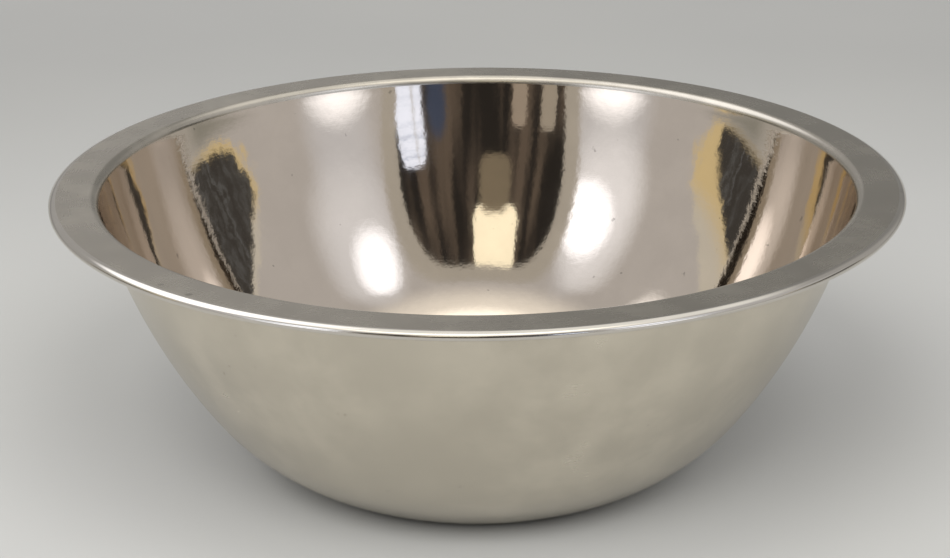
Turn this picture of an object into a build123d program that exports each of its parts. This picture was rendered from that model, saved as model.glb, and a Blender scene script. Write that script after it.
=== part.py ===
"""Stainless-steel mixing bowl, pressed in one piece from a round sheet.

Units are millimetres. The origin is the centre of the flat base's underside, and +Z points up
through the mouth, along the axis that the bowl is round about.
"""

import os
from math import cos, radians, sin

from build123d import *

# ---- driving dimensions ----
rim_diameter = 337.0  # over the rolled edge
height = 117.0  # from the surface it stands on to the top of the flange
sheet = 0.6  # thickness of the steel, the same everywhere

# The wall's inside skin is three tangent arcs. A slope is in degrees from level.
flat_base_radius = 70.0
foot_radius = 19.4  # bend between the flat base and the wall
foot_slope = 27.0  # where the foot's bend ends
belly_slope = 54.0  # where the full lower wall turns into the straighter upper wall
wall_slope = 77.0  # where the wall meets the lip

lip_radius = 3.9  # bend from the wall into the flange, on the inside skin
flange_start_radius = 153.1  # where that bend ends and the flat flange starts

# The edge of the flange is rolled down and under into a bead that is wider than it is high.
crown_radius = 3.4  # gentle start of the roll
crown_turn = 45.0  # degrees of the roll that the crown makes
nose_radius = 1.3  # tight turn round the bead's outermost point
bead_under_length = 2.2  # level run under the bead, back towards the wall
tuck_radius = 1.0  # last bend, which turns the cut edge up inside the bead
cut_edge_gap = 0.25  # air between the cut edge and the flange above it


def reach(slope_a, slope_b):
    """How far out an arc of radius 1 goes while its slope turns from slope_a to slope_b."""
    return sin(radians(slope_b)) - sin(radians(slope_a))


def climb(slope_a, slope_b):
    """How far up an arc of radius 1 goes while its slope turns from slope_a to slope_b."""
    return cos(radians(slope_a)) - cos(radians(slope_b))


# ---- the two wall radii that join the foot to the lip, from two equations in two unknowns ----
run_out = flange_start_radius - flat_base_radius
run_out -= lip_radius * reach(0, wall_slope) + foot_radius * reach(0, foot_slope)
run_up = height - sheet
run_up -= lip_radius * climb(0, wall_slope) + foot_radius * climb(0, foot_slope)
belly_out, belly_up = reach(foot_slope, belly_slope), climb(foot_slope, belly_slope)
upper_out, upper_up = reach(belly_slope, wall_slope), climb(belly_slope, wall_slope)
spread = belly_out * upper_up - upper_out * belly_up
belly_radius = (run_out * upper_up - run_up * upper_out) / spread
upper_wall_radius = (run_up * belly_out - run_out * belly_up) / spread

# ---- the rolled edge ----
roll_reach = crown_radius * reach(0, crown_turn) + nose_radius * reach(crown_turn, 90)
bead_start_radius = rim_diameter / 2 - roll_reach
bead_height = crown_radius * climb(0, crown_turn) + nose_radius * climb(crown_turn, 180)
cut_edge_length = bead_height - tuck_radius - sheet - cut_edge_gap


def skin(depth):
    """Draw one face of the sheet, a depth below the inside skin, and return its two ends."""
    base = Line((0, sheet - depth), (flat_base_radius, sheet - depth))
    foot = JernArc(base @ 1, base % 1, foot_radius + depth, foot_slope)
    belly = JernArc(foot @ 1, foot % 1, belly_radius + depth, belly_slope - foot_slope)
    upper = JernArc(belly @ 1, belly % 1, upper_wall_radius + depth, wall_slope - belly_slope)
    lip = JernArc(upper @ 1, upper % 1, lip_radius - depth, -wall_slope)
    flange = Line(lip @ 1, (bead_start_radius, height - depth))
    crown = JernArc(flange @ 1, flange % 1, crown_radius - depth, -crown_turn)
    nose = JernArc(crown @ 1, crown % 1, nose_radius - depth, crown_turn - 180)
    under = PolarLine(nose @ 1, bead_under_length, direction=nose % 1)
    tuck = JernArc(under @ 1, under % 1, tuck_radius - depth, -90)
    cut_edge = PolarLine(tuck @ 1, cut_edge_length, direction=tuck % 1)
    return base @ 0, cut_edge @ 1


# ---- bowl shell: one sheet, from the middle of the base out to its cut edge ----
with BuildPart() as bowl_shell:
    with BuildSketch(Plane.XZ):
        with BuildLine():
            inside_middle, inside_edge = skin(0)
            outside_middle, outside_edge = skin(sheet)
            Line(inside_middle, outside_middle)
            Line(inside_edge, outside_edge)
        make_face()
    revolve(axis=Axis.Z)
bowl_shell.part.label = "bowl_shell"

os.makedirs("parts", exist_ok=True)
export_step(bowl_shell.part, "parts/bowl_shell.step")

print(f"belly radius {belly_radius:.1f}, upper wall radius {upper_wall_radius:.1f}")
print(f"flat flange {flange_start_radius:.1f} to {bead_start_radius:.1f}, bead height {bead_height:.2f}")
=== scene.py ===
"""Looks of the stainless-steel mixing bowl, in metres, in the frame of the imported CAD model.

The bowl is one pressed sheet, so one mesh replaces the CAD shell: the same outline, finer, with the
slight waves of a pressed and hand-polished sheet, and its own steel finish on each zone.
"""

from math import cos, pi, radians, sin, tan

import bpy
from mathutils import Matrix, Vector, noise


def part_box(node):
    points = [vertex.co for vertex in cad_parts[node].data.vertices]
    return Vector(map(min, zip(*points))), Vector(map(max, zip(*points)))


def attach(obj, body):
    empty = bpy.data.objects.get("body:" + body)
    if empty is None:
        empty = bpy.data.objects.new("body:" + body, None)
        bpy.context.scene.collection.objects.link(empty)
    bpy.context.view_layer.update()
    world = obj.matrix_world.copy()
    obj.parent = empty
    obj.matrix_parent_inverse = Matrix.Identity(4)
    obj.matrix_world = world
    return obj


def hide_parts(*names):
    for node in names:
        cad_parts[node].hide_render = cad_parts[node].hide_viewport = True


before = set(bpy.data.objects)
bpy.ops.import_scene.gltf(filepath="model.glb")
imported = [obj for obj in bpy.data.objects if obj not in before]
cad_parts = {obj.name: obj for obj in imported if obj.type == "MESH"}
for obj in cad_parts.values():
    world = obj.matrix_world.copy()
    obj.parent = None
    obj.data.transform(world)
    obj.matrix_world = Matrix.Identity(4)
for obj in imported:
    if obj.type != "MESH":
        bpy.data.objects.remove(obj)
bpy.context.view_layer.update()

# ---- sizes: the rim and the height come from the frame, the bends repeat the CAD part's ----
high_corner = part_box("bowl_shell")[1]
rim_radius = high_corner.x
height = high_corner.z
sheet = 0.0006
flat_base_radius = 0.070
foot_radius = 0.0194
foot_slope = radians(27)
belly_slope = radians(54)
wall_slope = radians(77)
lip_radius = 0.0039
flange_start_radius = 0.1531
crown_radius = 0.0034
crown_turn = radians(45)
nose_radius = 0.0013
bead_under_length = 0.0022
tuck_radius = 0.001
cut_edge_gap = 0.00025

# ---- mesh: columns round the bowl, and the slight unevenness of a pressed and hand-polished sheet ----
turns = 320
unevenness = 0.00006  # how far the broad dents stand in or out
dent_spacing = 0.034
ripple = 0.00003  # the same for the shallow rings that run round the wall
ripple_spacing = 0.021
even_rim = 0.004  # this much below the top the sheet is true, so that the rim's line stays crisp
rim_fade = 0.012  # and this much further down it is as uneven as anywhere
middle_fade = 0.040  # radius within which the base evens out towards its middle

# ---- floor ----
floor_radius = 7.0
floor_corners = 96
floor_drop = 0.0002  # under the bowl, so that the two don't share a face
# painted light: the floor's colour holds a pool of light in front of the bowl, which also lightens the
# bowl's shade on it
painted_light_pool_forward = 0.25  # how far in front of the bowl the floor is palest
painted_light_pool_radius = 0.25
painted_light_pool_edge = 0.95  # where the floor has reached its even, darker tone

# ---- camera, from the rim's centre, in rim radii and degrees ----
camera_distance = 5.108
camera_elevation = 17.775
camera_aim_drop = 0.2620
camera_roll = -0.5
camera_pan = 0.076
camera_focal_share = 2.26842  # focal length over the picture's width
sensor_width = 36  # millimetres


def reach(slope_a, slope_b):
    """How far out an arc of radius 1 goes while its slope turns from slope_a to slope_b."""
    return sin(slope_b) - sin(slope_a)


def climb(slope_a, slope_b):
    """How far up an arc of radius 1 goes while its slope turns from slope_a to slope_b."""
    return cos(slope_a) - cos(slope_b)


def wall_radii():
    """The radii of the lower and the upper wall, which join the foot to the lip as in the CAD part."""
    run_out = flange_start_radius - flat_base_radius
    run_out -= lip_radius * reach(0, wall_slope) + foot_radius * reach(0, foot_slope)
    run_up = height - sheet
    run_up -= lip_radius * climb(0, wall_slope) + foot_radius * climb(0, foot_slope)
    belly_out, belly_up = reach(foot_slope, belly_slope), climb(foot_slope, belly_slope)
    upper_out, upper_up = reach(belly_slope, wall_slope), climb(belly_slope, wall_slope)
    spread = belly_out * upper_up - upper_out * belly_up
    belly_radius = (run_out * upper_up - run_up * upper_out) / spread
    upper_radius = (run_up * belly_out - run_out * belly_up) / spread
    return belly_radius, upper_radius


def skin(depth):
    """One face of the sheet as (zone, radius, height) points, from the axis to the cut edge."""
    belly_radius, upper_radius = wall_radii()
    roll_reach = crown_radius * reach(0, crown_turn) + nose_radius * reach(crown_turn, pi / 2)
    bead_height = crown_radius * climb(0, crown_turn) + nose_radius * climb(crown_turn, pi)
    flange_width = rim_radius - roll_reach - flange_start_radius
    cut_edge_length = bead_height - tuck_radius - sheet - cut_edge_gap
    # the zone, the radius of its arc or the length of its straight line, its turn, and its pieces
    steps = [
        ("base", flat_base_radius, 0, 24),
        ("wall", foot_radius + depth, foot_slope, 10),
        ("wall", belly_radius + depth, belly_slope - foot_slope, 18),
        ("wall", upper_radius + depth, wall_slope - belly_slope, 36),
        ("lip", lip_radius - depth, -wall_slope, 16),
        ("flange", flange_width, 0, 8),
        ("crown", crown_radius - depth, -crown_turn, 8),
        ("nose", nose_radius - depth, crown_turn - pi, 14),
        ("under", bead_under_length, 0, 3),
        ("tuck", tuck_radius - depth, -pi / 2, 5),
        ("cut", cut_edge_length, 0, 2),
    ]
    place = Vector((0.0, sheet - depth))
    heading = 0.0
    points = [("base", place.x, place.y)]
    for zone, size, turn, parts in steps:
        for _ in range(parts):
            step = turn / parts
            length = 2 * size * sin(abs(step) / 2) if turn else size / parts
            way = heading + step / 2
            place = place + length * Vector((cos(way), sin(way)))
            heading += step
            points.append((zone, place.x, place.y))
    return points


def uneven(r, z, angle):
    """How far the sheet stands off the true shape, in metres: nothing at the rim and at the middle."""
    place = Vector((r * cos(angle), r * sin(angle), z))
    below_rim = min(max((height - even_rim - z) / rim_fade, 0.0), 1.0)
    wall_share = below_rim * min(r / middle_fade, 1.0)
    broad = noise.noise(place / dent_spacing)
    rings = noise.noise(Vector((cos(angle), sin(angle), (r + z) / ripple_spacing)))
    return wall_share * (unevenness * broad + ripple * rings)


def bowl_mesh():
    """The whole sheet: inside skin, cut edge and outside skin, turned about the axis."""
    inside = [("inside_" + zone, r, z) for zone, r, z in skin(0.0)]
    outside = [("outside_" + zone, r, z) for zone, r, z in skin(sheet)]
    loop = inside + outside[::-1]
    vertices = []
    faces = []
    zones = []
    rows = []
    for zone, r, z in loop:
        if r < 1e-9:
            rows.append([len(vertices)])
            vertices.append((0.0, 0.0, z))
            continue
        first = len(vertices)
        rows.append(list(range(first, first + turns)))
        for k in range(turns):
            angle = 2 * pi * k / turns
            out = r + uneven(r, z, angle)
            vertices.append((out * cos(angle), out * sin(angle), z))
    for i in range(len(rows) - 1):
        near, far = rows[i], rows[i + 1]
        zone = loop[i + 1][0] if i < len(inside) else loop[i][0]
        for k in range(turns):
            after = (k + 1) % turns
            if len(near) == 1:
                face = (near[0], far[k], far[after])
            elif len(far) == 1:
                face = (near[k], far[0], near[after])
            else:
                face = (near[k], far[k], far[after], near[after])
            faces.append(face)
            zones.append(zone)
    mesh = bpy.data.meshes.new("bowl")
    mesh.from_pydata(vertices, [], faces)
    mesh.update()
    mesh.shade_smooth()
    return mesh, zones


class Graph:
    """A short way to write node trees: most methods make one node and return its output."""

    def __init__(self, tree):
        tree.nodes.clear()
        self.tree = tree

    def node(self, kind, inputs=(), **settings):
        made = self.tree.nodes.new(kind)
        for name, value in settings.items():
            setattr(made, name, value)
        for key, value in dict(inputs).items():
            if isinstance(value, bpy.types.NodeSocket):
                self.tree.links.new(value, made.inputs[key])
            else:
                made.inputs[key].default_value = value
        return made

    def math(self, operation, *values):
        return self.node("ShaderNodeMath", enumerate(values), operation=operation).outputs[0]

    def times(self, first, second):
        return self.math("MULTIPLY", first, second)

    def vector(self, operation, *values):
        return self.node("ShaderNodeVectorMath", enumerate(values), operation=operation).outputs

    def join(self, **axes):
        """A vector from any of its x, y and z; the others are 0."""
        inputs = {"XYZ".index(axis.upper()): value for axis, value in axes.items()}
        return self.node("ShaderNodeCombineXYZ", inputs).outputs[0]

    def ramp(self, value, low, high, start=0.0, end=1.0):
        """start below low, end above high, with a smooth turn between."""
        inputs = {"Value": value, "From Min": low, "From Max": high, "To Min": start, "To Max": end}
        return self.node("ShaderNodeMapRange", inputs, interpolation_type="SMOOTHSTEP").outputs[0]

    def mix(self, share, first, second):
        """first where share is 0, second where it is 1, as colours."""
        return self.node("ShaderNodeMix", {0: share, 6: first, 7: second}, data_type="RGBA").outputs[2]

    def noise(self, place, scale, detail, roughness, w=None):
        inputs = {"Vector": place, "Scale": scale, "Detail": detail, "Roughness": roughness}
        if w is None:
            return self.node("ShaderNodeTexNoise", inputs).outputs[0]
        return self.node("ShaderNodeTexNoise", {"W": w, **inputs}, noise_dimensions="4D").outputs[0]

    def swing(self, value, amount):
        """amount either way of nothing, for a noise value that runs from 0 to 1."""
        return self.times(self.math("SUBTRACT", value, 0.5), amount)

    def bump(self, height_map, distance, **normal):
        inputs = {"Height": height_map, "Distance": distance, **normal}
        return self.node("ShaderNodeBump", inputs).outputs[0]


def grey(value, red=1.0, green=1.0, blue=1.0):
    """A brightness and its tint, as a colour."""
    return value * red, value * green, value * blue, 1.0


def principled(name):
    """A new material, its graph and a function that closes the graph with one Principled shader."""
    material = bpy.data.materials.new(name)
    material.use_nodes = True
    graph = Graph(material.node_tree)

    def close(inputs):
        shader = graph.node("ShaderNodeBsdfPrincipled", inputs)
        graph.node("ShaderNodeOutputMaterial", {"Surface": shader.outputs[0]})
        return material

    return graph, close


# ---- steel ----
speck_colour = grey(0.16, 1.0, 0.93, 0.8)


def steel(name, base, roughness, spread, line_spacing, line_depth, peel_depth, smudge):
    """Stainless steel with lines running round the bowl, faint unevenness and smudges.

    base is the colour, roughness and spread its mean and swing, the spacing and depths are in metres,
    and smudge is how much the cloudy patches darken the colour."""
    graph, close = principled(name)
    place = graph.node("ShaderNodeTexCoord").outputs["Object"]
    x, y, z = graph.node("ShaderNodeSeparateXYZ", {0: place}).outputs
    flat = graph.join(x=x, y=y)
    along = graph.math("ADD", graph.vector("LENGTH", flat)["Value"], z)
    round_way = graph.vector("NORMALIZE", flat)["Vector"]

    def lines_round(scale, spacing, detail, noise_roughness):
        """Lines that run round the bowl, a spacing apart along its section."""
        step = graph.math("DIVIDE", along, scale * spacing)
        return graph.noise(round_way, scale, detail, noise_roughness, w=step)

    clouds = graph.noise(place, 11.0, 4.0, 0.6)
    blots = graph.noise(place, 46.0, 3.0, 0.65)
    lines = lines_round(2.2, line_spacing, 2.0, 0.6)
    fine_lines = lines_round(5.0, 0.35 * line_spacing, 1.0, 0.5)
    peel = graph.noise(place, 330.0, 2.0, 0.5)
    specks = graph.noise(place, 210.0, 2.0, 0.4)

    tone = graph.times(graph.ramp(blots, 0.30, 0.70), graph.ramp(clouds, 0.32, 0.68))
    dark = grey(1 - smudge, *base)
    light = grey(1 + 0.35 * smudge, *base)
    marks = graph.ramp(specks, 0.74, 0.80, end=0.45)
    colour = graph.mix(marks, graph.mix(tone, dark, light), speck_colour)

    haze = roughness
    for texture, share in ((clouds, 2.2), (blots, 1.3), (lines, 0.8)):
        haze = graph.math("ADD", haze, graph.swing(texture, share * spread))
    haze = graph.math("MAXIMUM", haze, 0.62 * roughness)

    relief = graph.math("ADD", lines, graph.times(fine_lines, 0.35))
    normal = graph.bump(peel, peel_depth, Normal=graph.bump(relief, line_depth))
    return close({"Base Color": colour, "Metallic": 1.0, "Roughness": haze, "Normal": normal})


polished_inside = steel(
    "steel_polished_inside",
    base=(0.67, 0.595, 0.51),
    roughness=0.045,
    spread=0.030,
    line_spacing=0.0010,
    line_depth=0.000003,
    peel_depth=0.000016,
    smudge=0.05,
)
satin_flange = steel(
    "steel_satin_flange",
    base=(0.59, 0.55, 0.48),
    roughness=0.27,
    spread=0.06,
    line_spacing=0.0006,
    line_depth=0.0000012,
    peel_depth=0.0000015,
    smudge=0.14,
)
rolled_bead = steel(
    "steel_rolled_bead",
    base=(0.67, 0.635, 0.58),
    roughness=0.13,
    spread=0.04,
    line_spacing=0.0006,
    line_depth=0.0000015,
    peel_depth=0.000003,
    smudge=0.06,
)
satin_outside = steel(
    "steel_satin_outside",
    base=(0.665, 0.615, 0.515),
    roughness=0.24,
    spread=0.06,
    line_spacing=0.0012,
    line_depth=0.000001,
    peel_depth=0.0000012,
    smudge=0.12,
)
zone_finish = {
    "inside_base": polished_inside,
    "inside_wall": polished_inside,
    "inside_lip": satin_flange,
    "inside_flange": satin_flange,
    "inside_crown": rolled_bead,
    "inside_nose": rolled_bead,
    "inside_under": rolled_bead,
    "inside_tuck": rolled_bead,
    "inside_cut": rolled_bead,
}

# ---- bowl ----
mesh, zones = bowl_mesh()
finishes = [polished_inside, satin_flange, rolled_bead, satin_outside]
for finish in finishes:
    mesh.materials.append(finish)
for polygon, zone in zip(mesh.polygons, zones):
    polygon.material_index = finishes.index(zone_finish.get(zone, satin_outside))

bowl = bpy.data.objects.new("bowl", mesh)
bpy.context.scene.collection.objects.link(bowl)
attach(bowl, "root")
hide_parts("bowl_shell")


def pale_floor():
    """The floor's material: a painted pool of light, palest in front of the bowl, and faintly cloudy."""
    graph, close = principled("pale_floor")
    place = graph.node("ShaderNodeTexCoord").outputs["Object"]
    clouds = graph.noise(place, 2.2, 3.0, 0.5)
    # painted light: the floor is coloured paler near the bowl's front, as a pool of lamp light and
    # lightened shade, and darker further out
    painted_light_pool_distance = graph.vector("DISTANCE", place, (0.0, -painted_light_pool_forward, 0.0))["Value"]
    far = graph.ramp(painted_light_pool_distance, painted_light_pool_radius, painted_light_pool_edge)
    tint = graph.mix(far, grey(0.285, 1.0, 0.995, 0.965), grey(0.182, 1.0, 0.995, 0.96))
    shade = graph.mix(graph.ramp(clouds, 0.3, 0.7), grey(0.97), grey(1.03, 1.0, 1.0, 0.99))
    colour = graph.vector("MULTIPLY", tint, shade)["Vector"]
    return close({"Base Color": colour, "Roughness": 0.75})


# ---- floor ----
floor_mesh = bpy.data.meshes.new("floor")
floor_turn = 2 * pi / floor_corners
unit_ring = [(cos(floor_turn * k), sin(floor_turn * k)) for k in range(floor_corners)]
floor_edge = [(floor_radius * x, floor_radius * y, -floor_drop) for x, y in unit_ring]
floor_mesh.from_pydata(floor_edge, [], [tuple(range(floor_corners))])
floor_mesh.update()
floor_mesh.materials.append(pale_floor())
floor = bpy.data.objects.new("floor", floor_mesh)
bpy.context.scene.collection.objects.link(floor)

# ---- studio: a pale tent with two soft lights, an opening for the camera and one on each side ----
# A direction is a bearing, 0 in front (-Y) and 90 at the right (+X), and a lift above level, in degrees.
world = bpy.data.worlds.new("studio")
world.use_nodes = True
bpy.context.scene.world = world
studio = Graph(world.node_tree)
way = studio.node("ShaderNodeTexCoord").outputs["Generated"]
way_x, way_y, way_z = studio.node("ShaderNodeSeparateXYZ", {0: way}).outputs
bearing = studio.times(studio.math("ARCTAN2", way_x, studio.times(way_y, -1.0)), 180 / pi)
lift = studio.times(studio.math("ARCSINE", way_z), 180 / pi)
off_front = studio.math("ABSOLUTE", bearing)


def patch(middle, half_size, softness, power=2.0, across=bearing):
    """1 in a soft-edged patch of the tent, 0 outside it: an ellipse, squarer with more power."""
    total = 0.0
    for place, centre, half in zip((across, lift), middle, half_size):
        share = studio.math("DIVIDE", studio.math("SUBTRACT", place, centre), half)
        total = studio.math("ADD", studio.math("POWER", studio.math("ABSOLUTE", share), power), total)
    return studio.ramp(total, 1 - softness, 1 + softness, 1.0, 0.0)


def both(first, second):
    """1 only where first and second both are."""
    return studio.times(first, second)


def soft_light(brightness):
    """The glow round a soft light."""
    return grey(brightness, 1.0, 1.03, 1.12)


def light_core(brightness):
    """The middle of a soft light."""
    return grey(brightness, 1.0, 1.05, 1.18)


# the tent's own tone, darker behind the bowl
tent_tone = grey(0.60, 1.0, 0.985, 0.99)
tent_layers = [
    (studio.ramp(off_front, 105, 125), grey(0.44, 1.0, 0.98, 0.96)),
    (patch((166, 20), (20, 30), 0.8), grey(0.28, 1.0, 0.99, 0.96)),
    (both(studio.ramp(off_front, 115, 130), studio.ramp(lift, 5, 13, 1.0, 0.0)), grey(0.15)),
]
# light from above
tent_layers += [
    (studio.ramp(lift, 50, 66), grey(1.15, 1.0, 0.97, 0.92)),
    (studio.ramp(lift, 64, 74), grey(2.2, 1.0, 0.98, 0.92)),
    (both(studio.ramp(off_front, 80, 105), studio.ramp(lift, 40, 54)), grey(1.1, 1.0, 0.99, 0.96)),
    (patch((-121, 52), (37, 20), 0.5, 4.0), grey(1.9, 1.0, 1.0, 1.03)),
]
# the two soft lights, right and left: glow, wider glow, low light and core
tent_layers += [
    (patch((48, 20), (11, 26), 1.0), soft_light(0.72)),
    (patch((-47, 20), (12, 28), 1.0), soft_light(0.78)),
    (patch((53, 38), (16, 15), 1.0), soft_light(0.95)),
    (patch((-51, 32), (14, 14), 1.0), soft_light(1.15)),
    (patch((46, 4), (11, 9), 1.0), soft_light(1.9)),
    (patch((-45, 4), (11, 9), 1.0), soft_light(2.1)),
    (patch((49, 42.5), (9.5, 7), 1.0), light_core(2.0)),
    (patch((-45.5, 34), (10, 6.5), 1.0), light_core(2.4)),
]
# a darker low band at the sides
far_back = studio.ramp(off_front, 99, 106)
low_tone = studio.mix(far_back, grey(0.34, 1.0, 1.0, 0.92), grey(0.50, 1.0, 0.98, 0.93))
low_band = both(studio.ramp(off_front, 70, 86), studio.ramp(lift, 3, 8, 1.0, 0.0))
tent_layers.append((low_band, low_tone))

# side openings, each with a warm edge of folded cloth
folded = studio.math("ADD", bearing, studio.swing(studio.noise(way, 11.0, 3.0, 0.65), 16.0))
sides_only = both(studio.ramp(lift, 4.5, 7.0), studio.ramp(off_front, 113, 119, 1.0, 0.0))
streaks = studio.ramp(studio.noise(studio.join(x=folded), 0.35, 2.0, 0.6), 0.45, 0.7)
gap_colour = studio.mix(streaks, grey(0.065, 1.0, 0.95, 0.90), grey(0.17, 0.95, 1.0, 1.05))
edge_colour = studio.mix(studio.ramp(lift, 15, 21), (0.80, 0.66, 0.38, 1.0), grey(0.72, 1.0, 0.97, 0.88))
right_edge = patch((112, 14.5), (29.5, 10.3), 0.12, across=folded)
right_gap = patch((112, 14.5), (27, 9.0), 0.12, across=folded)
left_edge = patch((-116, 12.5), (36, 12.5), 0.12, across=folded)
left_gap = patch((-116, 9.0), (28, 8.5), 0.12, across=folded)
for edge, gap in ((right_edge, right_gap), (left_edge, left_gap)):
    tent_layers.append((both(sides_only, edge), edge_colour))
    tent_layers.append((both(sides_only, gap), gap_colour))

# the room beyond the camera's opening: dim upright shapes, a slatted window, a lamp and pale panels
room_shapes = studio.noise(studio.join(x=bearing, z=studio.times(lift, 0.12)), 0.16, 2.0, 0.55)
room_shapes = studio.ramp(room_shapes, 0.42, 0.68)
room = studio.mix(room_shapes, grey(0.030, 1.0, 0.90, 0.82), grey(0.15, 1.0, 0.80, 0.64))
slats = studio.ramp(studio.noise(studio.join(z=lift), 1.3, 1.0, 0.5), 0.52, 0.62)
room_layers = [
    (patch((13.5, 15), (3.2, 6), 0.6), (0.07, 0.09, 0.15, 1.0)),
    (patch((23.0, 17), (4.6, 9.5), 0.14, 6.0), (1.30, 1.45, 1.80, 1.0)),
    (both(patch((23.0, 17), (4.4, 9.5), 0.14, 6.0), slats), (0.62, 0.72, 0.98, 1.0)),
    (patch((21.4, 17), (0.22, 9.5), 0.5, 6.0), grey(0.7)),
    (patch((-8, 42.5), (9.5, 7.5), 0.14, 5.0), (1.55, 1.45, 1.15, 1.0)),
    (patch((-7, 31), (6.0, 6), 0.5, 3.5), (0.26, 0.22, 0.16, 1.0)),
    (patch((-14.5, 12), (2.4, 7), 0.3, 6.0), (0.44, 0.38, 0.32, 1.0)),
    (patch((-24.5, 10), (2.6, 9), 0.4, 6.0), (0.46, 0.42, 0.36, 1.0)),
]
for share, colour in room_layers:
    room = studio.mix(share, room, colour)

# the camera's opening, wider the higher it is, with a pale band round it
widening = studio.math("ADD", studio.times(studio.math("MAXIMUM", lift, 0.0), 0.010), 1.0)
narrowed = studio.math("DIVIDE", studio.math("ADD", bearing, 1.5), widening)
tent_layers += [
    (patch((0, 0), (29.5, 52), 0.14, 4.0, across=narrowed), grey(0.53, 1.0, 0.96, 0.88)),
    (patch((0, 0), (25, 48), 0.06, 4.0, across=narrowed), room),
]
tent = tent_tone
for share, colour in tent_layers:
    tent = studio.mix(share, tent, colour)

# the camera itself sees a plain pale backdrop
seen = studio.node("ShaderNodeLightPath").outputs["Is Camera Ray"]
sky = studio.mix(seen, tent, grey(0.485, 1.0, 0.995, 0.965))
background = studio.node("ShaderNodeBackground", {"Color": sky})
studio.node("ShaderNodeOutputWorld", {"Surface": background.outputs[0]})

# Two soft lamps in front fill the floor. The steel doesn't show them: its lights are the tent's.
for name, side, power in (("fill_left", -1, 3.5), ("fill_right", 1, 2.9)):
    lamp_data = bpy.data.lights.new(name, "SUN")
    lamp_data.angle = radians(40)
    lamp_data.energy = power
    lamp = bpy.data.objects.new(name, lamp_data)
    lamp.location = (side * 0.7, -1.1, 1.25)
    lamp.rotation_euler = (-Vector(lamp.location)).to_track_quat("-Z", "Y").to_euler()
    lamp.visible_camera = False
    lamp.visible_glossy = False
    bpy.context.scene.collection.objects.link(lamp)

bpy.context.scene.view_settings.view_transform = "Standard"
bpy.context.scene.cycles.glossy_bounces = 12  # light crosses the bowl many times at its sides

# ---- camera ----
rim_centre = Vector((0, 0, height))
elevation = radians(camera_elevation)
camera_reach = camera_distance * rim_radius
camera_place = rim_centre + camera_reach * Vector((0, -cos(elevation), sin(elevation)))
aim = rim_centre - Vector((camera_reach * tan(radians(camera_pan)), 0, camera_aim_drop * rim_radius))
camera_data = bpy.data.cameras.new("camera")
camera_data.sensor_width = sensor_width
camera_data.lens = sensor_width * camera_focal_share
camera = bpy.data.objects.new("camera", camera_data)
bpy.context.scene.collection.objects.link(camera)
aimed = (aim - camera_place).to_track_quat("-Z", "Y").to_matrix()
turn = aimed @ Matrix.Rotation(radians(camera_roll), 3, "Z")
camera.matrix_world = Matrix.Translation(camera_place) @ turn.to_4x4()
bpy.context.scene.camera = camera
